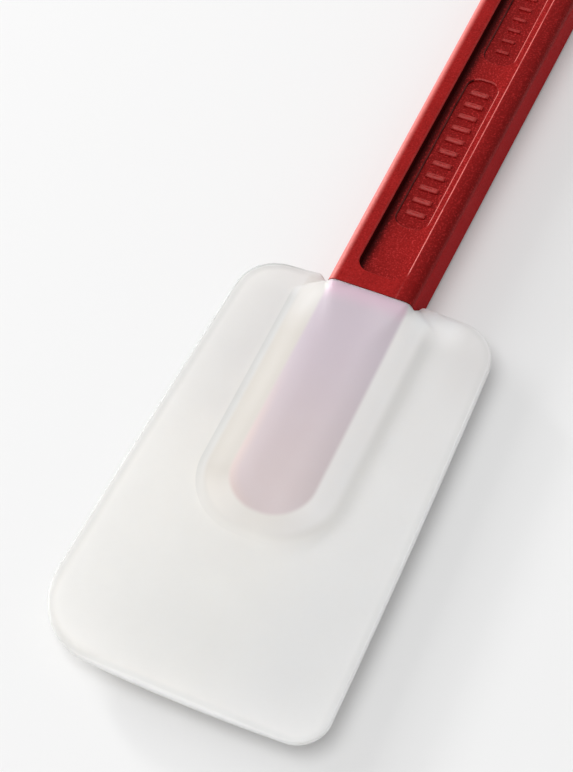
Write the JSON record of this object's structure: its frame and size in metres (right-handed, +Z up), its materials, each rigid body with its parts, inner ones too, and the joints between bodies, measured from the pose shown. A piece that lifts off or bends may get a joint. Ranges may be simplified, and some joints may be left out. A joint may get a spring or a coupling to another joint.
{
  "type": "silicone spatula",
  "caption": "Bowl scraper with a flat rectangular silicone blade moulded over the tongue of a long recessed bar handle, with a hanging hole in its far end.",
  "frame": {"origin": "middle of the outline on the surface that the spatula lies on", "axes": "+Y along the spatula from the blade's tip to the hanging end, +Z up from the surface it lies on, +X across toward the tightly rounded corner of the blade's tip"},
  "size_m": [0.07, 0.343, 0.0135],
  "materials": {
    "silicone": "satin, milky translucent",
    "red_nylon": "semi-gloss with a fine moulded grain"
  },
  "bodies": {
    "root": {"blade": "silicone", "handle": "red_nylon"}
  },
  "joints": []
}
